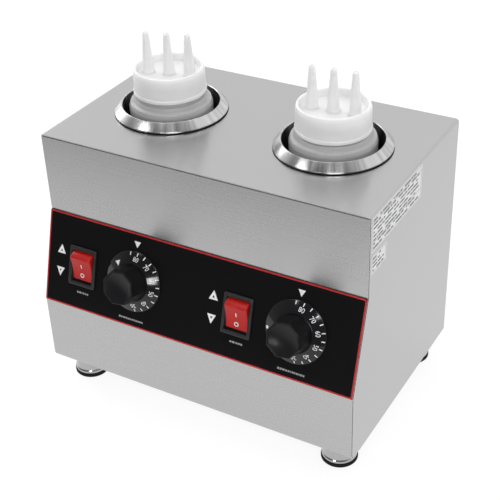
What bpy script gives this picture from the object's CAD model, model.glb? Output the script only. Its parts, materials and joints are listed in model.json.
"""A twin sauce warmer in folded stainless steel, with two nozzle-capped squeeze bottles in its wells.

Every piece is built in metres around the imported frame, with X to the right, the front towards -Y and
the counter at Z = 0. The sections follow the object as it is put together.
"""

import json

import bmesh
import bpy
import numpy as np
from mathutils import Matrix, Vector


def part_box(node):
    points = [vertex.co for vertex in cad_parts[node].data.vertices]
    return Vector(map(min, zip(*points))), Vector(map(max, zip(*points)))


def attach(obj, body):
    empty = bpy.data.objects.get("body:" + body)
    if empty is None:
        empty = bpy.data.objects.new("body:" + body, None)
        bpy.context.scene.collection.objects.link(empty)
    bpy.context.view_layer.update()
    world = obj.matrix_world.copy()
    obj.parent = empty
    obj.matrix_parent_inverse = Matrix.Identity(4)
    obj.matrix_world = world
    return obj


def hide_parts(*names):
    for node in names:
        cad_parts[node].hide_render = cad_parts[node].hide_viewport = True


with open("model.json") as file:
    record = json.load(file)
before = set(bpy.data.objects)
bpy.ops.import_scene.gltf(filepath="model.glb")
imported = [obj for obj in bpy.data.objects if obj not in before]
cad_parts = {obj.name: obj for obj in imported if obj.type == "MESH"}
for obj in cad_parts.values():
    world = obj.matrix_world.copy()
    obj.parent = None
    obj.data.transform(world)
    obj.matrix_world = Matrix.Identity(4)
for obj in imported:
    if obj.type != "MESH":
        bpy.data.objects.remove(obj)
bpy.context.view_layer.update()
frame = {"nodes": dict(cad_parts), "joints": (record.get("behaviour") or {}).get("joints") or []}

# ---------------------------------------------------------------- the studio
# A white, faintly glowing sweep with one large soft light overhead and strips at both sides. The walls
# are white behind the object and fall off to dark in front, where the camera looks in from the right.
CAMERA_PLACE = Vector((0.4592, -0.7597, 0.7101))
CAMERA_TURN, CAMERA_LOOKS_DOWN, CAMERA_LEAN = np.radians((30.896, 33.004, -2.294))
CAMERA_LENS = 81.57

camera_data = bpy.data.cameras.new("studio_camera")
camera_data.lens = CAMERA_LENS
camera_data.sensor_width = 36
camera_data.clip_start = 0.01
camera = bpy.data.objects.new("studio_camera", camera_data)
camera.matrix_world = (
    Matrix.Translation(CAMERA_PLACE)
    @ Matrix.Rotation(CAMERA_TURN, 4, "Z")
    @ Matrix.Rotation(np.pi / 2 - CAMERA_LOOKS_DOWN, 4, "X")
    @ Matrix.Rotation(CAMERA_LEAN, 4, "Z")
)
bpy.context.scene.collection.objects.link(camera)
bpy.context.scene.camera = camera
bpy.context.scene.view_settings.view_transform = "Standard"

world = bpy.data.worlds.new("studio_walls")
world.use_nodes = True
wall_nodes, wall_links = world.node_tree.nodes, world.node_tree.links
bearing = wall_nodes.new("ShaderNodeSeparateXYZ")
wall_links.new(wall_nodes.new("ShaderNodeTexCoord").outputs["Generated"], bearing.inputs["Vector"])
wall_shade = wall_nodes.new("ShaderNodeMapRange")
wall_shade.interpolation_type = "SMOOTHSTEP"
for socket, value in {"From Min": -0.75, "From Max": 0.45, "To Min": 0.16, "To Max": 1.05}.items():
    wall_shade.inputs[socket].default_value = value
wall_links.new(bearing.outputs["Y"], wall_shade.inputs["Value"])
wall_links.new(wall_shade.outputs["Result"], wall_nodes["Background"].inputs["Strength"])
wall_nodes["Background"].inputs["Color"].default_value = (1, 1, 1, 1)
bpy.context.scene.world = world


def soft_light(name, place, aim, size, power):
    """A square area light that faces a point."""
    data = bpy.data.lights.new(name, "AREA")
    data.shape = "RECTANGLE"
    data.size, data.size_y = size
    data.energy = power
    light = bpy.data.objects.new(name, data)
    light.location = place
    light.rotation_euler = (Vector(aim) - Vector(place)).to_track_quat("-Z", "Y").to_euler()
    bpy.context.scene.collection.objects.link(light)


soft_light("overhead_softbox", (-0.15, 0.1, 1.6), (0, 0, 0.2), (1.2, 0.9), 4)
soft_light("left_strip", (-1.4, 0.3, 0.9), (0, 0, 0.2), (0.4, 1.1), 6)
soft_light("right_fill", (1.4, -0.2, 0.8), (0, 0, 0.2), (0.7, 0.9), 0.6)
soft_light("camera_fill", (0.75, -1.2, 1.15), (0, 0, 0.25), (0.7, 0.5), 10)
soft_light("edge_light", (-0.75, -0.95, 1.35), (0, 0, 0.25), (0.5, 0.25), 2.5)
soft_light("dial_glint", (0.10, -0.667, 0.248), (-0.04, -0.093, 0.144), (0.09, 0.14), 0.7)

floor_mesh = bpy.data.meshes.new("studio_floor")
floor_mesh.from_pydata([(-6, -0.5, 0), (6, -0.5, 0), (6, 6, 0), (-6, 6, 0)], [], [(0, 1, 2, 3)])
floor_finish = bpy.data.materials.new("white_sweep")
floor_finish.use_nodes = True
floor_shader = floor_finish.node_tree.nodes["Principled BSDF"]
floor_shader.inputs["Base Color"].default_value = (0.15, 0.15, 0.15, 1)
floor_shader.inputs["Roughness"].default_value = 0.9
floor_shader.inputs["Emission Color"].default_value = (1, 1, 1, 1)
floor_shader.inputs["Emission Strength"].default_value = 0.86
floor_mesh.materials.append(floor_finish)
studio_floor = bpy.data.objects.new("studio_floor", floor_mesh)
studio_floor.location.z = -0.0002
bpy.context.scene.collection.objects.link(studio_floor)

# ---------------------------------------------------------------- outer shell, rear cover and base plate
# One sheet of 1 mm stainless, brushed along its length and folded down at both ends to make the top
# and the sides. The rear cover and the base are flat sheets of the same, cut with cooling slots.
SHEET = 0.001


def finish(
    name,
    colour,
    roughness,
    metallic=0.0,
    stretch=(1, 1, 1),
    scale=400,
    tint=0.06,
    spread=0.05,
    bump=0.05,
    tangent=None,
    around=None,
    **sockets,
):
    """A surface whose roughness, tint and relief follow one noise, drawn out by stretch into a grain.

    scale is in cycles a metre. tangent is the way that highlights are drawn out. around is the centre of a
    turned piece, whose highlights and grain run out along its radii: its scale is in cycles a radian.
    """
    material = bpy.data.materials.new(name)
    material.use_nodes = True
    nodes, links = material.node_tree.nodes, material.node_tree.links
    shader = nodes["Principled BSDF"]
    place = nodes.new("ShaderNodeTexCoord").outputs["Object"]
    grain = nodes.new("ShaderNodeMapping")
    grain.inputs["Scale"].default_value = stretch
    links.new(place, grain.inputs["Vector"])
    noise = nodes.new("ShaderNodeTexNoise")
    noise.inputs["Scale"].default_value = scale
    noise.inputs["Detail"].default_value = 5
    noise.inputs["Roughness"].default_value = 0.6
    links.new(grain.outputs["Vector"], noise.inputs["Vector"])
    cloud = nodes.new("ShaderNodeTexNoise")
    cloud.inputs["Scale"].default_value = 14
    cloud.inputs["Detail"].default_value = 3
    links.new(place, cloud.inputs["Vector"])
    both = nodes.new("ShaderNodeMix")
    both.inputs["Factor"].default_value = 0.35
    links.new(noise.outputs["Fac"], both.inputs["A"])
    links.new(cloud.outputs["Fac"], both.inputs["B"])

    def between(low, high):
        """A number that runs from low to high as the noise does."""
        spread_out = nodes.new("ShaderNodeMapRange")
        spread_out.inputs["From Min"].default_value = 0.3
        spread_out.inputs["From Max"].default_value = 0.7
        spread_out.inputs["To Min"].default_value = low
        spread_out.inputs["To Max"].default_value = high
        links.new(both.outputs["Result"], spread_out.inputs["Value"])
        return spread_out.outputs["Result"]

    links.new(between(max(roughness - spread, 0.02), roughness + spread), shader.inputs["Roughness"])
    shade = nodes.new("ShaderNodeMix")
    shade.data_type = "RGBA"
    shade.inputs["A"].default_value = (*(max(c * (1 - tint), 0) for c in colour), 1)
    shade.inputs["B"].default_value = (*(min(c * (1 + tint), 1) for c in colour), 1)
    links.new(between(0, 1), shade.inputs["Factor"])
    links.new(shade.outputs["Result"], shader.inputs["Base Color"])
    relief = nodes.new("ShaderNodeBump")
    relief.inputs["Strength"].default_value = bump
    relief.inputs["Distance"].default_value = 0.0002
    links.new(noise.outputs["Fac"], relief.inputs["Height"])
    links.new(relief.outputs["Normal"], shader.inputs["Normal"])
    shader.inputs["Metallic"].default_value = metallic
    for socket, value in sockets.items():
        shader.inputs[socket.replace("_", " ").title().replace("Ior", "IOR")].default_value = value
    if around is not None:
        outwards = nodes.new("ShaderNodeVectorMath")
        outwards.operation = "SUBTRACT"
        outwards.inputs[1].default_value = around
        links.new(place, outwards.inputs[0])
        level = nodes.new("ShaderNodeVectorMath")
        level.operation = "MULTIPLY"
        level.inputs[1].default_value = (1, 1, 0)
        links.new(outwards.outputs[0], level.inputs[0])
        links.new(level.outputs[0], shader.inputs["Tangent"])
        bearing = nodes.new("ShaderNodeVectorMath")
        bearing.operation = "NORMALIZE"
        links.new(level.outputs[0], bearing.inputs[0])
        links.new(bearing.outputs[0], grain.inputs["Vector"])
    elif tangent is not None:
        fixed = nodes.new("ShaderNodeCombineXYZ")
        for axis, value in zip("XYZ", tangent):
            fixed.inputs[axis].default_value = value
        links.new(fixed.outputs[0], shader.inputs["Tangent"])
    return material


def dress(node, material):
    """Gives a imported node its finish."""
    data = frame["nodes"][node].data
    data.materials.clear()
    data.materials.append(material)


STEEL_COLOUR = (0.47, 0.47, 0.47)
shell_steel = finish(
    "brushed_stainless_shell",
    STEEL_COLOUR,
    0.25,
    metallic=1,
    stretch=(0.006, 1, 0.006),
    scale=800,
    tint=0.02,
    spread=0.02,
    bump=0.008,
    tangent=(0, 1, 0),
    anisotropic=0.75,
)
flat_steel = finish(
    "brushed_stainless_flat",
    STEEL_COLOUR,
    0.30,
    metallic=1,
    stretch=(0.006, 1, 1),
    scale=800,
    tint=0.02,
    spread=0.02,
    bump=0.008,
    tangent=(0, 0, 1),
    anisotropic=0.6,
)
dress("outer_shell", shell_steel)
dress("rear_cover", flat_steel)
dress("base_plate", shell_steel)


def ease_front_edge(data, radius=0.0005):
    """Rounds off the deck's front edge, where a brake has folded and a wheel has dressed it."""
    mesh = bmesh.new()
    mesh.from_mesh(data)
    top = max(vert.co.z for vert in mesh.verts)
    on_top = [vert for vert in mesh.verts if vert.co.z > top - 1e-5]
    front = min(vert.co.y for vert in on_top)
    edges = [edge for edge in mesh.edges if all(v in on_top and v.co.y < front + 1e-5 for v in edge.verts)]
    bmesh.ops.bevel(mesh, geom=edges, offset=radius, segments=4, profile=0.5, affect="EDGES")
    mesh.to_mesh(data)
    mesh.free()


ease_front_edge(frame["nodes"]["outer_shell"].data)

# ---------------------------------------------------------------- front panel
# A second sheet, brushed across, that leans back between two shallow bends to carry the controls. Its
# bottom edge is rolled under the body, and its top edge stops just below the deck.
BEND_RADIUS = 0.0014
ROLLED_RADIUS = 0.006
BODY_HALF = float(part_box("outer_shell")[1][0])
Z_DECK = float(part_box("outer_shell")[1][2])
Y_BACK = float(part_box("outer_shell")[1][1])
Y_LOWER, Z_BODY = (float(v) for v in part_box("front_panel")[0][1:])
Z_FRONT_TOP = float(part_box("front_panel")[1][2])
knob_joint = {
    side: next(joint for joint in frame["joints"] if joint["name"] == f"knob_{side}_turn")
    for side in ("left", "right")
}
OUT = np.array(knob_joint["left"]["axis"], float)
ACROSS = np.array((1.0, 0.0, 0.0))
UP = np.cross(OUT, ACROSS)
PANEL_BAND = (0.069, 0.155)  # heights of the two bends over the body's bottom
lower_bend, upper_bend = (Z_BODY + height for height in PANEL_BAND)
SLOPE = (upper_bend - lower_bend) / UP[2]
Y_UPPER = Y_LOWER + SLOPE * UP[1]
PANEL_MIDDLE = np.array((0, (Y_LOWER + Y_UPPER) / 2, (lower_bend + upper_bend) / 2))


def unit(vector):
    """A vector or rows of vectors, each scaled to length one."""
    return vector / np.linalg.norm(vector, axis=-1, keepdims=True)


def rounded(corners, steps=6, closed=True):
    """An outline from (x, y, radius) corners: each becomes an arc that touches both of its sides."""
    corners = np.array(corners, float)
    points, radii = corners[:, :2], corners[:, 2]
    outline = []
    for i, (point, radius) in enumerate(zip(points, radii)):
        if radius == 0 or (not closed and i in (0, len(points) - 1)):
            outline.append(point[None])
            continue
        before = unit(points[i - 1] - point)
        after = unit(points[(i + 1) % len(points)] - point)
        half = np.arccos(np.clip(before @ after, -1, 1)) / 2
        centre = point + unit(before + after) * radius / np.sin(half)
        start = point + before * radius / np.tan(half) - centre
        end = point + after * radius / np.tan(half) - centre
        sweep = np.pi - 2 * half
        t = np.linspace(0, 1, steps + 1)[:, None]
        outline.append(centre + (np.sin((1 - t) * sweep) * start + np.sin(t * sweep) * end) / np.sin(sweep))
    return np.concatenate(outline)


def surface(points, closed=False, caps=(False, False)):
    """A skin over rows of points, each row a closed loop. closed joins the last row to the first, and caps
    fill the first and last loops with one face."""
    rows, count = points.shape[:2]
    index = np.arange(rows * count).reshape(rows, count)
    beside = np.roll(index, -1, axis=1)
    quads = np.stack([index, beside, np.roll(beside, -1, axis=0), np.roll(index, -1, axis=0)], axis=-1)
    faces = (quads if closed else quads[:-1]).reshape(-1, 4).tolist()
    if caps[0]:
        faces.append(index[0, ::-1].tolist())
    if caps[1]:
        faces.append(index[-1].tolist())
    return points.reshape(-1, 3), faces


def piece(name, patches, material, body, replaces=(), sharp=35):
    """One object from several patches of (points, faces), welded, faced outwards and riding on a body."""
    points, faces, start = [], [], 0
    for patch_points, patch_faces in patches:
        points.append(np.asarray(patch_points, float))
        faces += [[start + i for i in face] for face in patch_faces]
        start += len(patch_points)
    data = bpy.data.meshes.new(name)
    data.from_pydata(np.concatenate(points).tolist(), [], faces)
    mesh = bmesh.new()
    mesh.from_mesh(data)
    bmesh.ops.remove_doubles(mesh, verts=mesh.verts, dist=2e-7)
    bmesh.ops.dissolve_degenerate(mesh, dist=1e-8, edges=mesh.edges)
    bmesh.ops.recalc_face_normals(mesh, faces=mesh.faces)
    mesh.to_mesh(data)
    mesh.free()
    data.shade_smooth()
    data.set_sharp_from_angle(angle=np.radians(sharp))
    data.materials.append(material)
    made = bpy.data.objects.new(name, data)
    bpy.context.scene.collection.objects.link(made)
    if replaces:
        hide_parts(*replaces)
    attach(made, body)
    return made


def carried_along_x(outline, half_width):
    """A closed (y, z) outline carried from one side to the other."""
    loop = np.stack([np.column_stack([np.full(len(outline), x), outline]) for x in (-half_width, half_width)])
    return surface(loop, caps=(True, True))


def offset_front(inset, flange=0.015):
    """The front's side view, moved inwards by inset, as corners for rounding."""
    shift = inset * np.tan(np.arctan2(UP[1], UP[2]) / 2)
    return [
        (Y_UPPER + inset, Z_FRONT_TOP, 0),
        (Y_UPPER + inset, upper_bend - shift, BEND_RADIUS + inset),
        (Y_LOWER + inset, lower_bend - shift, BEND_RADIUS + SHEET - inset),
        (Y_LOWER + inset, Z_BODY + inset, ROLLED_RADIUS - inset),
        (Y_LOWER + flange, Z_BODY + inset, 0),
    ]


outside = rounded(offset_front(0), 10, closed=False)
inside = rounded(offset_front(SHEET), 10, closed=False)
front_steel = finish(
    "brushed_stainless_front",
    STEEL_COLOUR,
    0.27,
    metallic=1,
    stretch=(0.006, 1, 1),
    scale=800,
    tint=0.012,
    spread=0.014,
    bump=0.003,
    tangent=(0, 0, 1),
    anisotropic=0.75,
)
piece(
    "front_sheet",
    [carried_along_x(np.concatenate([outside, inside[::-1]]), BODY_HALF - 0.0003)],
    front_steel,
    "cabinet",
    ["front_panel"],
)

# ---------------------------------------------------------------- control fascia and its print
# A polycarbonate film stuck over the sloping band. It is printed on the back in black, with a red line
# round the edge, and with white marks: an arrow over each dial and two lamps' places by each switch.
# The lettering is replaced by plain bars.
FILM_THICKNESS = 0.0006
FILM_LOW = 0.0003
FILM_TOP = FILM_LOW + FILM_THICKNESS
BORDER = 0.0014
PRINT = 0.00006
film_half = (BODY_HALF - 0.0003, SLOPE / 2 - 0.0004)


def carried_round(
    profile, half=(0, 0), around=128, closed=True, caps=(False, False), centre=(0, 0), turn=0.0
):
    """A (radius, height) profile turned about an upright axis. half pushes the four quarters of the turning
    apart, which carries the profile round a rectangle with rounded corners."""
    quarter = np.linspace(0, np.pi / 2, around // 4 + 1)
    angle = np.concatenate([quarter + k * np.pi / 2 for k in range(4)])
    apart = np.repeat([(1, 1), (-1, 1), (-1, -1), (1, -1)], len(quarter), axis=0) * half
    radius, height = np.asarray(profile, float).T
    points = np.empty((len(radius), len(angle), 3))
    points[..., 0] = np.outer(radius, np.cos(angle)) + apart[:, 0]
    points[..., 1] = np.outer(radius, np.sin(angle)) + apart[:, 1]
    points[..., 2] = height[:, None]
    cos, sin = np.cos(turn), np.sin(turn)
    points[..., :2] = points[..., :2] @ np.array([(cos, sin), (-sin, cos)]) + centre
    return surface(points, closed, caps)


def plate(width, height, low, high, corner=0.0004, edge=0.0001, centre=(0, 0), around=24):
    """A flat plate with rounded corners and eased edges."""
    profile = [(corner - edge, low), (corner, low + edge), (corner, high - edge), (corner - edge, high)]
    return carried_round(
        profile,
        (width / 2 - corner, height / 2 - corner),
        around,
        closed=False,
        caps=(True, True),
        centre=centre,
    )


def prism(outline, low, high):
    """A flat shape from its (x, y) outline, between two heights."""
    outline = np.asarray(outline, float)
    loop = np.stack([np.column_stack([outline, np.full(len(outline), z)]) for z in (low, high)])
    return surface(loop, caps=(True, True))


def laid_on_panel(patch, at):
    """Moves a patch that was made flat onto the slope: its x runs across, its y up the slope, its z out."""
    points, faces = patch
    return np.asarray(points) @ np.stack([ACROSS, UP, OUT]) + np.asarray(at), faces


def triangle(x, y, width, height, pointing=1, low=FILM_TOP, high=FILM_TOP + PRINT):
    """A small printed arrowhead, its middle at x, y."""
    outline = [
        (x - width / 2, y - pointing * height / 2),
        (x + width / 2, y - pointing * height / 2),
        (x, y + pointing * height / 2),
    ]
    return prism(outline, low, high)


film_black = finish(
    "fascia_black",
    (0.006, 0.006, 0.0065),
    0.16,
    scale=700,
    tint=0.1,
    spread=0.04,
    bump=0.02,
    specular_ior_level=0.12,
)
film_red = finish(
    "fascia_red", (0.46, 0.025, 0.025), 0.3, scale=700, tint=0.08, bump=0.02, specular_ior_level=0.3
)
print_grey = finish("print_grey", (0.30, 0.30, 0.30), 0.45, scale=900, tint=0.05, bump=0.02)
print_white = finish("print_white", (0.78, 0.78, 0.78), 0.45, scale=900, tint=0.03, bump=0.02)
print_dark = finish("print_dark", (0.02, 0.02, 0.02), 0.45, scale=900, tint=0.05, bump=0.02)

piece(
    "fascia_film",
    [laid_on_panel(plate(2 * film_half[0], 2 * film_half[1], FILM_LOW, FILM_TOP, 0.0006), PANEL_MIDDLE)],
    film_black,
    "cabinet",
    ["control_overlay"],
)
border_profile = [
    (0.0006 - BORDER, FILM_TOP),
    (0.0006, FILM_TOP),
    (0.0006, FILM_TOP + PRINT),
    (0.0006 - BORDER, FILM_TOP + PRINT),
]
border_half = (film_half[0] - 0.0006 - BORDER, film_half[1] - 0.0006 - BORDER)
piece(
    "fascia_red_line",
    [
        laid_on_panel(
            carried_round([(r + BORDER, z) for r, z in border_profile], border_half, 24),
            PANEL_MIDDLE,
        )
    ],
    film_red,
    "cabinet",
)

STATION = float(np.mean([corner[0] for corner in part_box("well_right")]))
Y_WELL = float(np.mean([corner[1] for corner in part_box("well_right")]))
sides = {"left": -1, "right": 1}
WORD_BARS = {
    "switch": (1.9, 2.4, 0.7, 1.3, 1.5, 1.8),
    "dial": (1.8, 1.7, 2.4, 1.8, 1.7, 1.0, 1.8, 1.0, 1.8, 1.1, 1.7, 1.5),
}


def word_of_bars(widths, x, y, height, gap=0.0006):
    """A row of plain bars in place of a printed word; widths in millimetres, centred on x, y."""
    widths = np.array(widths) / 1000
    ends = np.cumsum(widths + gap)
    left = x - (ends[-1] - gap) / 2 + np.concatenate([[0], ends[:-1]])
    return [
        prism(
            [(a, y - height / 2), (a + w, y - height / 2), (a + w, y + height / 2), (a, y + height / 2)],
            FILM_TOP,
            FILM_TOP + PRINT,
        )
        for a, w in zip(left, widths)
    ]


white_marks, dark_marks, grey_marks = [], [], []
for side, sign in sides.items():
    dial_x = knob_joint[side]["pos_m"][0]
    middle = SLOPE / 2
    white_marks += [triangle(dial_x + 0.0002, middle - 0.0110, 0.0068, 0.0060, -1)]
    white_marks += [triangle(dial_x - 0.0820, middle - 0.0355, 0.0092, 0.0088)]
    white_marks += [triangle(dial_x - 0.0822, middle - 0.0580, 0.0088, 0.0088, -1)]
    over_print = (FILM_TOP + PRINT, FILM_TOP + 2 * PRINT)
    dark_marks += [triangle(dial_x - 0.0820, middle - 0.0368, 0.0026, 0.0024, 1, *over_print)]
    dark_marks += [triangle(dial_x - 0.0822, middle - 0.0567, 0.0026, 0.0024, -1, *over_print)]
    grey_marks += word_of_bars(WORD_BARS["switch"], dial_x - 0.0555, middle - 0.0727, 0.0017)
    grey_marks += word_of_bars(WORD_BARS["dial"], dial_x - 0.0004, middle - 0.0826, 0.0017)
for print_name, marks, ink, print_slot in (
    ("white", white_marks, print_white, "white_plastic"),
    ("grey", grey_marks, print_grey, "white_plastic"),
    ("dark", dark_marks, print_dark, "black_plastic"),
):
    on_panel = [laid_on_panel(mark, PANEL_MIDDLE) for mark in marks]
    piece(f"fascia_{print_name}_print", on_panel, ink, "cabinet")

# ---------------------------------------------------------------- rocker switches
# A snap-in switch: a black moulded case whose bezel covers the cut-out, and a red rocker on two pins.
# Its raised end is marked with a stroke for on and its pressed end with a ring for off.
BEZEL_SIZE = (0.0290, 0.0375)
POCKET_SIZE = (0.0228, 0.0308)
BEZEL_LOW, BEZEL_TOP = 0.0012, 0.0036
POCKET_FLOOR = -0.0116
CASE_SIZE, CASE_BACK = (0.0268, 0.0334), -0.0245
ROCKER_HALF, ROCKER_SWING, ROCKER_THROW = 0.0110, 0.0151, np.radians(17.6)
PIVOT_OUT = -0.004

switch_black = finish(
    "switch_black", (0.014, 0.015, 0.016), 0.42, scale=1600, tint=0.15, bump=0.12, specular_ior_level=0.4
)
rocker_red = finish(
    "rocker_red", (0.43, 0.011, 0.009), 0.20, scale=1200, tint=0.06, bump=0.03, specular_ior_level=0.22
)
terminal_brass = finish("terminal_brass", (0.70, 0.55, 0.30), 0.35, metallic=1, scale=900, bump=0.05)


def switch_case():
    """The case and bezel in one: the profile runs up the outside, over the bezel, and down the pocket."""
    case, bezel, pocket = (np.array(size) / 2 for size in (CASE_SIZE, BEZEL_SIZE, POCKET_SIZE))
    ease = 0.0011
    loops = [
        (case - 0.0008, CASE_BACK, 0.0004),
        (case, CASE_BACK + 0.0008, 0.0008),
        (case, BEZEL_LOW, 0.0008),
        (bezel - 0.0002, BEZEL_LOW, 0.0010),
        (bezel, BEZEL_LOW + 0.0002, 0.0012),
    ]
    for a in np.radians(np.linspace(0, 90, 7)):
        loops.append((bezel - ease * (1 - np.cos(a)), BEZEL_TOP - ease * (1 - np.sin(a)), 0.0012))
    for a in np.radians(np.linspace(90, 0, 4)):
        loops.append((pocket + 0.0004 * (1 - np.cos(a)), BEZEL_TOP - 0.0004 * (1 - np.sin(a)), 0.0006))
    loops += [(pocket, POCKET_FLOOR, 0.0004), (pocket - 0.0030, POCKET_FLOOR, 0.0004)]
    rows = []
    for (x, y), height, corner in loops:
        outline = rounded([(x, -y, corner), (x, y, corner), (-x, y, corner), (-x, -y, corner)], 5)
        rows.append(np.column_stack([outline, np.full(len(outline), height)]))
    return surface(np.stack(rows), caps=(True, True))


def bar_across(outline, half_width, edge, steps=6):
    """A (y, z) outline carried along X and drawn in at both ends by a rounded edge."""
    outline = np.asarray(outline, float)
    along = unit(np.roll(outline, -1, axis=0) - np.roll(outline, 1, axis=0))
    outward = np.column_stack([along[:, 1], -along[:, 0]])
    area = np.sum(outline[:, 0] * np.roll(outline[:, 1], -1) - outline[:, 1] * np.roll(outline[:, 0], -1))
    outward *= np.sign(area)
    t = np.linspace(0, np.pi / 2, steps + 1)
    rows = [(-half_width + edge * (1 - np.cos(a)), edge * (1 - np.sin(a))) for a in t]
    rows += [(-x_here, inset_here) for x_here, inset_here in rows[::-1]]
    loops = [
        np.column_stack([np.full(len(outline), x_here), outline - outward * inset_here])
        for x_here, inset_here in rows
    ]
    return surface(np.stack(loops), caps=(True, True))


def tilted(patch, angle):
    """Tips a flat patch about its X axis, its upper end outwards."""
    points, faces = patch
    cos, sin = np.cos(angle), np.sin(angle)
    return np.asarray(points) @ np.array([(1, 0, 0), (0, cos, sin), (0, -sin, cos)]), faces


rocker_edge = ROCKER_SWING * np.array((np.cos(np.radians(34.8)), np.sin(np.radians(34.8))))
skirt_angle = np.radians(np.linspace(-8, 27, 8))
end_arc = ROCKER_SWING * np.column_stack([np.cos(skirt_angle), np.sin(skirt_angle)])
dish = np.linspace(0.92, -0.92, 15)
face = np.column_stack([rocker_edge[0] * dish, rocker_edge[1] - 0.0012 * (1 - (dish / 0.92) ** 2) + 0.0001])
corner_curve = rounded([(*end_arc[-1], 0), (*rocker_edge, 0.0013), (*face[0], 0)], 6, closed=False)[1:-1]
MIRRORED = (-1, 1)
rocker_outline = np.concatenate(
    [end_arc, corner_curve, face, corner_curve[::-1] * MIRRORED, end_arc[::-1] * MIRRORED]
)


def face_height(y):
    """How far the rocker's dished face stands off its pivot at a distance from the middle."""
    return np.interp(y, face[::-1, 0], face[::-1, 1])


for side, sign in sides.items():
    joint = next(j for j in frame["joints"] if j["name"] == f"rocker_{side}_press")
    pivot = np.array(joint["pos_m"])
    on_sheet = pivot - OUT * PIVOT_OUT
    piece(
        f"switch_bezel_{side}",
        [laid_on_panel(switch_case(), on_sheet)],
        switch_black,
        "cabinet",
        [f"switch_case_{side}"],
    )
    blades = [
        plate(0.0008, 0.0062, CASE_BACK - 0.0075, CASE_BACK + 0.0002, 0.0002, 0.00005, (x, y))
        for x in (-0.006, 0.006)
        for y in (-0.009, 0.009)
    ]
    placed_blades = [laid_on_panel(blade, on_sheet) for blade in blades]
    piece(f"switch_blades_{side}", placed_blades, terminal_brass, "cabinet")
    rocker = bar_across(rocker_outline, ROCKER_HALF, 0.0007)
    piece(
        f"rocker_body_{side}",
        [laid_on_panel(tilted(rocker, ROCKER_THROW), pivot)],
        rocker_red,
        f"rocker_{side}",
        [f"rocker_{side}"],
        sharp=50,
    )
    stroke = plate(0.0009, 0.0042, 0, PRINT, 0.0003, 0.00002, (0.0, 0.0035))
    ring_profile = [(0.0014, 0), (0.0022, 0), (0.0022, PRINT), (0.0014, PRINT)]
    ring = carried_round(ring_profile, (0.0, 0.0), 40, centre=(0.0, -0.0062))
    marks = []
    for points, faces in (stroke, ring):
        points = points.copy()
        points[:, 2] += face_height(points[:, 1]) + 0.00001
        marks.append((points, faces))
    piece(
        f"rocker_marks_{side}",
        [laid_on_panel(tilted(mark, ROCKER_THROW), pivot) for mark in marks],
        print_white,
        f"rocker_{side}",
    )

# ---------------------------------------------------------------- temperature dials
# A glossy black moulding: a wide sloping skirt printed with the scale, and a tall eight-sided grip.
# It is pushed onto the thermostat's flatted shaft and turns with it.
DIAL_RADIUS = 0.0286
GRIP_BASE, GRIP_TOP, GRIP_HEIGHT = 0.0172, 0.0163, 0.0272
SKIRT_RISE = ((DIAL_RADIUS, BEZEL_LOW + 0.0014), (0.0180, BEZEL_LOW + 0.0060))
HOTTEST, COOLEST, STEP = 85, 30, 5
SCALE_SWEEP = np.radians(180)
DIAL_TURNED = {"left": np.radians(10), "right": np.radians(6)}

dial_black = finish(
    "dial_black",
    (0.007, 0.007, 0.008),
    0.10,
    scale=900,
    tint=0.1,
    spread=0.03,
    bump=0.02,
    specular_ior_level=0.4,
)
grip_black = finish(
    "grip_black",
    (0.008, 0.008, 0.009),
    0.30,
    scale=1500,
    tint=0.12,
    spread=0.05,
    bump=0.05,
    specular_ior_level=0.18,
)


def cone_height(radius):
    """How high the skirt's printed face stands at a radius."""
    (outer, low), (inner, high) = SKIRT_RISE
    return low + (outer - radius) / (outer - inner) * (high - low)


def wrapped_on_cone(patch, at_radius, clockwise):
    """Bends a flat print round the skirt: its x becomes arc length and its y runs out along the radius."""
    points, faces = patch
    x, y, z = np.asarray(points).T
    radius = at_radius + y
    angle = np.pi / 2 - clockwise - x / at_radius
    height = cone_height(radius) + z + 0.00002
    return np.column_stack([radius * np.cos(angle), radius * np.sin(angle), height]), faces


def figures(text, size):
    """A number as thin raised print, centred, as points and faces."""
    curve = bpy.data.curves.new("figure", "FONT")
    curve.body = text
    curve.size = size
    curve.align_x = "CENTER"
    curve.align_y = "CENTER"
    curve.extrude = PRINT / 2
    curve.resolution_u = 4
    curve.offset = -size * 0.004
    holder = bpy.data.objects.new("figure", curve)
    bpy.context.scene.collection.objects.link(holder)
    bpy.context.view_layer.update()
    data = bpy.data.meshes.new_from_object(holder.evaluated_get(bpy.context.evaluated_depsgraph_get()))
    points = np.empty(len(data.vertices) * 3)
    data.vertices.foreach_get("co", points)
    faces = [list(polygon.vertices) for polygon in data.polygons]
    bpy.data.objects.remove(holder)
    bpy.data.curves.remove(curve)
    bpy.data.meshes.remove(data)
    points = points.reshape(-1, 3)
    points[:, 2] += PRINT / 2
    return points, faces


def spun(patch, angle):
    """Turns a flat patch about its Z axis."""
    points, faces = patch
    cos, sin = np.cos(angle), np.sin(angle)
    return np.asarray(points) @ np.array([(cos, sin, 0), (-sin, cos, 0), (0, 0, 1)]), faces


def grip():
    """An eight-sided post with softened corners, tapering to a bevelled rim and a shallow dished face."""
    corner_angle = np.radians(75) + np.arange(8) * np.pi / 4
    corners = np.column_stack([np.cos(corner_angle), np.sin(corner_angle)])
    outline = rounded(np.column_stack([corners, np.full(8, 0.07)]), 5)
    low = BEZEL_LOW + 0.0040
    bevel = np.radians(np.linspace(0, 90, 6))
    levels = [(GRIP_BASE, low), (GRIP_TOP + 0.0001, GRIP_HEIGHT - 0.0040)]
    levels += [(GRIP_TOP - 0.0008 * (1 - np.cos(a)), GRIP_HEIGHT - 0.0008 * (1 - np.sin(a))) for a in bevel]
    levels += [(GRIP_TOP - 0.0018, GRIP_HEIGHT - 0.00005), (GRIP_TOP - 0.0022, GRIP_HEIGHT - 0.0004)]
    rows = np.stack(
        [np.column_stack([outline * radius, np.full(len(outline), height)]) for radius, height in levels]
    )
    return surface(rows, caps=(True, True))


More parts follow.
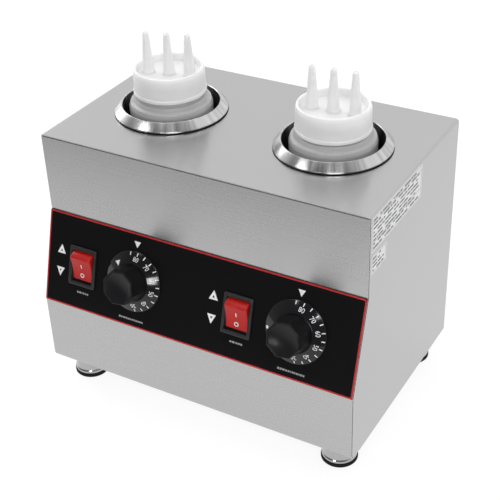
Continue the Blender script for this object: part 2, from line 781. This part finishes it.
for side, sign in sides.items():
    centre = np.array(knob_joint[side]["pos_m"])
    turned = DIAL_TURNED[side]
    skirt = rounded(
        [
            (0, BEZEL_LOW + 0.0012, 0),
            (0.0240, BEZEL_LOW + 0.0012, 0.0003),
            (0.0250, BEZEL_LOW, 0.0003),
            (DIAL_RADIUS, BEZEL_LOW, 0.0004),
            (*SKIRT_RISE[0], 0.0006),
            (*SKIRT_RISE[1], 0.0012),
            (0, BEZEL_LOW + 0.0066, 0),
        ],
        6,
        closed=False,
    )
    body = f"knob_{side}"
    skirt_patch = laid_on_panel(carried_round(skirt, around=144, closed=False), centre)
    piece(f"dial_skirt_{side}", [skirt_patch], dial_black, body, [f"temperature_knob_{side}"])
    piece(f"dial_grip_{side}", [laid_on_panel(grip(), centre)], grip_black, body, sharp=50)
    marks = []
    values = np.arange(HOTTEST, COOLEST - 1, -STEP)
    for value, clockwise in zip(values, np.linspace(0, SCALE_SWEEP, len(values))):
        marks.append(wrapped_on_cone(plate(0.0009, 0.0029, 0, PRINT, 0.0002, 0.00002), 0.0264, clockwise))
        if value % 10 == 0:
            marks.append(wrapped_on_cone(figures(str(value), 0.0056), 0.0219, clockwise))
    marks.append(wrapped_on_cone(plate(0.0030, 0.0030, 0, PRINT, 0.0014, 0.00002), 0.0263, np.radians(-90)))
    if side == "left":
        arrow = spun(prism([(-0.0028, -0.0024), (0.0028, -0.0024), (0, 0.0028)], 0, PRINT), np.radians(42))
        marks.append(wrapped_on_cone(arrow, 0.0226, turned - np.radians(48)))
    patches = [laid_on_panel(spun(mark, turned), centre) for mark in marks]
    piece(f"dial_scale_{side}", patches, print_white, body)

shaft_steel = finish(
    "shaft_steel", (0.62, 0.62, 0.62), 0.3, metallic=1, scale=900, stretch=(1, 1, 0.05), bump=0.04
)
thermostat_grey = finish("thermostat_grey", (0.50, 0.50, 0.47), 0.5, scale=1200, tint=0.06, bump=0.1)
for side in sides:
    dress(f"thermostat_shaft_{side}", shaft_steel)
    dress(f"thermostat_body_{side}", thermostat_grey)

# ---------------------------------------------------------------- wells, collars and gaskets
# Each well is a deep cup with a flange under the deck. A spun steel collar drops into its mouth, its
# face turned on a lathe, and a thin black gasket seals it to the deck.
WELL_RADIUS, WELL_FLANGE, WELL_CORNER = 0.0458, 0.0545, 0.010
COLLAR_FOOT, COLLAR_MOUTH = 0.0521, 0.0446
well_low = float(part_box("well_right")[0][2])
well_top = float(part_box("well_right")[1][2])
collar_low, collar_high = (float(corner[2]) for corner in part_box("collar_ring_right"))
gasket_low, gasket_high = (float(corner[2]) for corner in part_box("collar_gasket_right"))
collar_foot_z = gasket_high + 0.0003

RUBBER_COLOUR = (0.006, 0.006, 0.006)
cup_metal = finish(
    "cup_dark_anodised",
    (0.035, 0.035, 0.037),
    0.5,
    metallic=0.6,
    stretch=(1, 1, 0.1),
    scale=500,
    tint=0.2,
    bump=0.05,
)
gasket_rubber = finish(
    "gasket_rubber", RUBBER_COLOUR, 0.75, scale=1400, tint=0.2, bump=0.2, specular_ior_level=0.15
)

for side, sign in sides.items():
    place = (sign * STATION, Y_WELL)
    cup = rounded(
        [
            (0, well_low + SHEET, 0),
            (WELL_RADIUS, well_low + SHEET, WELL_CORNER),
            (WELL_RADIUS, well_top, 0.0009),
            (WELL_FLANGE, well_top, 0.0002),
            (WELL_FLANGE, well_top - SHEET, 0.0002),
            (WELL_RADIUS + SHEET, well_top - SHEET, 0.0003),
            (WELL_RADIUS + SHEET, well_low, WELL_CORNER + SHEET),
            (0, well_low, 0),
        ],
        8,
        closed=False,
    )
    piece(
        f"well_cup_{side}",
        [carried_round(cup, around=96, closed=False, centre=place)],
        cup_metal,
        "cabinet",
        [f"well_{side}"],
    )
    collar = rounded(
        [
            (COLLAR_FOOT, collar_foot_z, 0.0001),
            (COLLAR_FOOT, collar_foot_z + 0.0009, 0.0005),
            (COLLAR_MOUTH + 0.0011, collar_high, 0.0007),
            (COLLAR_MOUTH, collar_high - 0.0006, 0.0006),
            (COLLAR_MOUTH, collar_low, 0.0002),
            (COLLAR_MOUTH + 0.0008, collar_low, 0.0002),
            (COLLAR_MOUTH + 0.0008, collar_high - 0.0022, 0.0002),
            (COLLAR_FOOT - 0.0014, collar_foot_z, 0.0001),
        ],
        6,
    )
    collar_steel = finish(
        f"turned_collar_{side}",
        (0.52, 0.52, 0.52),
        0.24,
        metallic=1,
        scale=6,
        tint=0.42,
        spread=0.08,
        bump=0,
        around=(*place, 0),
        anisotropic=0.5,
    )
    piece(
        f"collar_{side}",
        [carried_round(collar, around=160, centre=place)],
        collar_steel,
        "cabinet",
        [f"collar_ring_{side}"],
        sharp=45,
    )
    gasket = rounded(
        [
            (0.0472, gasket_low, 0.0001),
            (COLLAR_FOOT + 0.0002, gasket_low, 0.0002),
            (COLLAR_FOOT + 0.0002, gasket_high, 0.0002),
            (0.0472, gasket_high, 0.0001),
        ],
        4,
    )
    piece(
        f"gasket_{side}",
        [carried_round(gasket, around=128, centre=place)],
        gasket_rubber,
        "cabinet",
        [f"collar_gasket_{side}"],
    )

mica = finish("mica_band", (0.42, 0.40, 0.37), 0.45, metallic=0.8, scale=300, tint=0.12, bump=0.1)
copper = finish("copper", (0.72, 0.40, 0.26), 0.35, metallic=1, scale=900, tint=0.08, bump=0.04)
for side in sides:
    dress(f"heater_band_{side}", mica)
    dress(f"band_bolt_{side}", shaft_steel)
    dress(f"sensor_bulb_{side}", copper)
    dress(f"capillary_{side}", copper)

# ---------------------------------------------------------------- squeeze bottles and nozzle caps
# Blown polyethylene bottles, milky and slightly see-through, with a stepped shoulder. The cap is one
# moulding: a tapered skirt, a rounded rim, and a sunk disc that carries three hollow cones in a row.
BOTTLE_RADIUS, BOTTLE_WALL, NECK_RADIUS = 0.0382, 0.0013, 0.0312
NOZZLE_STEP = 0.0193
NOZZLE_ROW = {"left": np.radians(15), "right": np.radians(5)}

bottle_milk = finish(
    "bottle_polyethylene",
    (0.40, 0.40, 0.40),
    0.28,
    scale=1500,
    tint=0.008,
    spread=0.015,
    bump=0.006,
    subsurface_weight=0.4,
    subsurface_radius=(1, 1, 1),
    subsurface_scale=0.004,
    ior=1.5,
)
cap_milk = finish(
    "cap_polyethylene",
    (0.74, 0.74, 0.74),
    0.36,
    scale=1500,
    tint=0.008,
    spread=0.02,
    bump=0.008,
    subsurface_weight=0.6,
    subsurface_radius=(1, 1, 1),
    subsurface_scale=0.004,
    emission_color=(1, 1, 1, 1),
    emission_strength=0.06,
    ior=1.5,
)


def bottle_skin(low, lip):
    """The bottle's section, from the middle of its base up the outside and down the inside."""
    d = Z_DECK
    outside = [
        (0, low + 0.0014, 0),
        (0.0290, low + 0.0014, 0.002),
        (0.0315, low, 0.001),
        (BOTTLE_RADIUS, low, 0.0045),
        (BOTTLE_RADIUS, d + 0.0070, 0.0035),
        (0.0368, d + 0.0112, 0.0020),
        (0.0342, d + 0.0122, 0.0008),
        (0.0337, d + 0.0138, 0.0006),
        (0.0330, d + 0.0156, 0.0008),
        (NECK_RADIUS, d + 0.0161, 0.0004),
        (NECK_RADIUS, lip, 0.0004),
    ]
    inside = [
        (NECK_RADIUS - BOTTLE_WALL, lip, 0.0003),
        (NECK_RADIUS - BOTTLE_WALL, d + 0.0140, 0.0008),
        (0.0352, d + 0.0098, 0.0020),
        (BOTTLE_RADIUS - BOTTLE_WALL, d + 0.0058, 0.0030),
        (BOTTLE_RADIUS - BOTTLE_WALL, low + BOTTLE_WALL, 0.0035),
        (0.0310, low + BOTTLE_WALL, 0.001),
        (0.0290, low + 0.0014 + BOTTLE_WALL, 0.002),
        (0, low + 0.0014 + BOTTLE_WALL, 0),
    ]
    return rounded(outside + inside, 6, closed=False)


def cap_skin(low, high):
    """The cap's section, from the middle of the sunk disc over the rim and down to the skirt's foot."""
    floor = low + 0.0160
    return rounded(
        [
            (0, floor, 0),
            (0.0286, floor, 0.0014),
            (0.0293, high - 0.0016, 0.0003),
            (0.0296, high, 0.0008),
            (0.0314, high, 0.0012),
            (0.0324, high - 0.0034, 0.0022),
            (0.0328, low + 0.0035, 0.0006),
            (0.0333, low + 0.0028, 0.0004),
            (0.0333, low, 0.0004),
            (NECK_RADIUS + 0.0005, low, 0.0002),
            (NECK_RADIUS + 0.0005, floor - 0.0016, 0.0006),
            (0, floor - 0.0016, 0),
        ],
        6,
        closed=False,
    )


def nozzle(floor, top):
    """A hollow cone with a flared foot and a rounded lip round its bore."""
    return rounded(
        [
            (0.0066, floor - 0.0004, 0),
            (0.0064, floor + 0.0002, 0.0003),
            (0.0053, floor + 0.0006, 0.0012),
            (0.0045, floor + 0.0140, 0.004),
            (0.0027, top - 0.0012, 0.0015),
            (0.0023, top, 0.0006),
            (0.0013, top, 0.0003),
            (0.0012, top - 0.0080, 0.0),
            (0.0024, floor + 0.0020, 0.0),
            (0, floor + 0.0015, 0),
        ],
        6,
        closed=False,
    )


for side, sign in sides.items():
    place = np.array((sign * STATION, Y_WELL))
    bottle_low = float(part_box(f"bottle_{side}")[0][2])
    bottle_high = float(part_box(f"bottle_{side}")[1][2])
    piece(
        f"squeeze_bottle_{side}",
        [carried_round(bottle_skin(bottle_low, bottle_high), around=144, closed=False, centre=place)],
        bottle_milk,
        f"bottle_{side}",
        [f"bottle_{side}"],
        sharp=60,
    )
    cap_low, cap_top = (float(corner[2]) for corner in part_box(f"nozzle_cap_{side}"))
    rim = cap_low + 0.0233
    row = np.outer((-1, 0, 1), (np.cos(NOZZLE_ROW[side]), np.sin(NOZZLE_ROW[side]))) * NOZZLE_STEP
    cones = [
        carried_round(
            nozzle(cap_low + 0.0160, cap_top),
            around=48,
            closed=False,
            caps=(True, False),
            centre=place + spot,
        )
        for spot in row
    ]
    piece(
        f"cap_{side}",
        [carried_round(cap_skin(cap_low, rim), around=144, closed=False, centre=place), *cones],
        cap_milk,
        f"cap_{side}",
        [f"nozzle_cap_{side}"],
        sharp=60,
    )
    dress(f"cap_seal_{side}", cap_milk)

# ---------------------------------------------------------------- feet
# A bright steel cup screwed under each corner, standing on a ring of black rubber.
PAD_RADIUS = 0.0167
foot_steel = finish(
    "foot_steel",
    (0.42, 0.42, 0.42),
    0.16,
    metallic=1,
    scale=300,
    stretch=(1, 1, 4),
    tint=0.05,
    bump=0.03,
)
foot_rubber = finish(
    "foot_rubber", RUBBER_COLOUR, 0.7, scale=1400, tint=0.2, bump=0.2, specular_ior_level=0.15
)
foot_patches, pad_patches = [], []
corners = [f"{end}_{side}" for end in ("front", "rear") for side in sides]
for corner in corners:
    low, high = (np.array(c, float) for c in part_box(f"foot_cup_{corner}"))
    middle = (low[:2] + high[:2]) / 2
    cup_top = Z_BODY - 0.0003
    cup = rounded(
        [
            (0, low[2], 0),
            (0.0160, low[2], 0.0004),
            (0.0162, low[2] + 0.0022, 0.0008),
            (0.0153, low[2] + 0.0036, 0.0010),
            (0.0149, cup_top - 0.0010, 0.0016),
            (0.0130, cup_top, 0.0008),
            (0.0040, cup_top, 0),
            (0.0040, high[2], 0.0005),
            (0, high[2], 0),
        ],
        6,
        closed=False,
    )
    foot_patches.append(carried_round(cup, around=64, closed=False, centre=middle))
    pad_high = float(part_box(f"foot_pad_{corner}")[1][2])
    pad = rounded(
        [
            (0, 0, 0),
            (PAD_RADIUS - 0.0008, 0, 0.0004),
            (PAD_RADIUS, 0.0010, 0.0006),
            (PAD_RADIUS, pad_high - 0.0006, 0.0008),
            (0.0158, pad_high, 0.0003),
            (0, pad_high, 0),
        ],
        5,
        closed=False,
    )
    pad_patches.append(carried_round(pad, around=64, closed=False, centre=middle))
cup_nodes = [f"foot_cup_{corner}" for corner in corners]
piece("foot_cups", foot_patches, foot_steel, "cabinet", cup_nodes)
piece("foot_pads", pad_patches, foot_rubber, "cabinet", [f"foot_pad_{c}" for c in corners])
for corner in corners:
    dress(f"foot_nut_{corner}", shaft_steel)

# ---------------------------------------------------------------- rating labels
# Two silvered labels stuck on the right side near the top. Plain bars in a ruled table take the place
# of their text.
LABEL_THICKNESS = 0.00006
label_paper = finish("label_paper", (0.72, 0.72, 0.72), 0.45, scale=600, tint=0.03, bump=0.02)
label_ink = finish("label_ink", (0.05, 0.05, 0.05), 0.5, scale=600, tint=0.1, bump=0.02)
LABELS = {"rating": ((0.004, 0.104), (0.003, 0.035), 8), "small": ((0.004, 0.033), (0.039, 0.056), 4)}


def laid_on_right_side(patch, y, z):
    """Stands a flat patch on the right-hand side: its x runs towards the back and its y up."""
    points, faces = patch
    points = np.asarray(points)
    return np.column_stack([points[:, 2] + BODY_HALF, points[:, 0] + y, points[:, 1] + z]), faces


def bar(x, y, width, height):
    """One flat printed bar, centred on x, y."""
    return plate(width, height, LABEL_THICKNESS, LABEL_THICKNESS + 0.00002, 0.00012, 0.000005, (x, y), 8)


paper, ink = [], []
BAR_LENGTHS = np.array((7, 3, 10, 5, 2, 8, 4, 12, 3, 6, 9)) / 1000
for label, ((front, rear), (top, bottom), lines) in LABELS.items():
    width, height = rear - front, bottom - top
    y, z = Y_UPPER + (front + rear) / 2, Z_DECK - (top + bottom) / 2
    paper.append(laid_on_right_side(plate(width, height, 0.00002, LABEL_THICKNESS, 0.001, 0.00001), y, z))
    inner = (width - 0.003, height - 0.003)
    pitch = inner[1] / lines
    bars = [bar(0, sign * inner[1] / 2, inner[0], 0.00035) for sign in (-1, 1)]
    bars += [bar(sign * inner[0] / 2, 0, 0.00035, inner[1]) for sign in (-1, 1)]
    if label == "rating":
        bars += [bar(inner[0] * at, pitch, 0.00035, inner[1] - 2 * pitch) for at in (-0.2, 0.15, 0.32)]
        bars += [bar(0, inner[1] / 2 - pitch * row, inner[0], 0.00035) for row in (1, lines - 2)]
    for row in range(lines):
        row_y = inner[1] / 2 - pitch * (row + 0.5)
        at, turn = -inner[0] / 2 + 0.0012, 5 * row
        while at + BAR_LENGTHS[turn % 11] < inner[0] / 2 - 0.001:
            length = BAR_LENGTHS[turn % 11]
            bars.append(bar(at + length / 2, row_y, length, pitch * 0.42))
            at, turn = at + length + 0.0014 + 0.004 * (turn % 3 == 0), turn + 1
    ink += [laid_on_right_side(patch, y, z) for patch in bars]
piece("rating_labels", paper, label_paper, "cabinet")
piece("rating_label_rules", ink, label_ink, "cabinet")

# ---------------------------------------------------------------- rear fixings and cable gland
# Pan-head cross-slot screws hold the rear cover. A black nylon gland, with a six-sided flange and a
# round clamping nose, is where a mains cord would come in.
GLAND_BORE = 0.0044
nylon_black = finish("gland_nylon", (0.014, 0.014, 0.015), 0.45, scale=1300, tint=0.15, bump=0.1)
screw_steel = finish("screw_steel", (0.58, 0.58, 0.58), 0.25, metallic=1, scale=900, tint=0.06, bump=0.03)


def laid_on_back(patch, x, y, z):
    """Stands a flat patch on the rear cover, its z pointing away from the body."""
    points, faces = patch
    points = np.asarray(points)
    return np.column_stack([-points[:, 0] + x, points[:, 2] + y, points[:, 1] + z]), faces


screws = [f"rear_screw_{level}_{side}" for level in ("low", "middle", "high") for side in sides]
heads, slots = [], []
for screw in screws:
    low, high = (np.array(c, float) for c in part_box(screw))
    x, z = (low[0] + high[0]) / 2, (low[2] + high[2]) / 2
    dome = rounded(
        [
            (0, 0.0024, 0),
            (0.0022, 0.0024, 0.0016),
            (0.0034, 0.0008, 0.0008),
            (0.0034, 0, 0.0001),
            (0.0015, 0, 0),
            (0.0015, -0.0070, 0.0003),
            (0, -0.0078, 0),
        ],
        5,
        closed=False,
    )
    heads.append(laid_on_back(carried_round(dome, around=48, closed=False), x, Y_BACK + 0.0003, z))
    for size in ((0.0036, 0.0007), (0.0007, 0.0036)):
        slots.append(laid_on_back(plate(*size, 0.0023, 0.00245, 0.0002, 0.00002), x, Y_BACK + 0.0003, z))
piece("rear_screws", heads, screw_steel, "cabinet", screws)
piece("rear_screw_slots", slots, print_dark, "cabinet")

low, high = (np.array(c, float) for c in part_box("cable_gland"))
gland_x, gland_z = (low[0] + high[0]) / 2, (low[2] + high[2]) / 2
reach = high[1] - Y_BACK - 0.0003
nose = rounded(
    [
        (GLAND_BORE, low[1] - Y_BACK - 0.0003, 0.0003),
        (0.0078, low[1] - Y_BACK - 0.0003, 0.0003),
        (0.0078, 0.0020, 0),
        (0.0096, 0.0050, 0.0003),
        (0.0096, reach - 0.0028, 0.0016),
        (0.0078, reach - 0.0003, 0.0008),
        (0.0066, reach, 0.0003),
        (GLAND_BORE, reach, 0.0005),
    ],
    5,
)
hexagon_angle = np.radians(30) + np.arange(6) * np.pi / 3
hexagon = np.column_stack([np.cos(hexagon_angle), np.sin(hexagon_angle)])
hexagon = rounded(np.column_stack([hexagon, np.full(6, 0.06)]), 4)
hexagon_rows = [
    (0.0120, 0),
    (0.0124, 0.0004),
    (0.0124, 0.0046),
    (0.0118, 0.0052),
    (0.0080, 0.0052),
    (0.0080, 0),
]
flange = np.stack([np.column_stack([hexagon * r, np.full(len(hexagon), z)]) for r, z in hexagon_rows])
gland_patches = [
    laid_on_back(carried_round(nose, around=72), gland_x, Y_BACK + 0.0003, gland_z),
    laid_on_back(surface(flange, closed=True), gland_x, Y_BACK + 0.0003, gland_z),
]
piece("gland_body", gland_patches, nylon_black, "cabinet", ["cable_gland"])
dress("gland_locknut", nylon_black)

# ---------------------------------------------------------------- wiring
# A white terminal block on the base takes the supply, and insulated leads run from it to the switches.
block_white = finish("terminal_white", (0.78, 0.78, 0.75), 0.45, scale=900, tint=0.04, bump=0.06)
lead_blue = finish("lead_blue", (0.05, 0.08, 0.32), 0.5, scale=900, tint=0.1, bump=0.05)
dress("terminal_block", block_white)
for side in sides:
    dress(f"switch_lead_{side}", lead_blue)
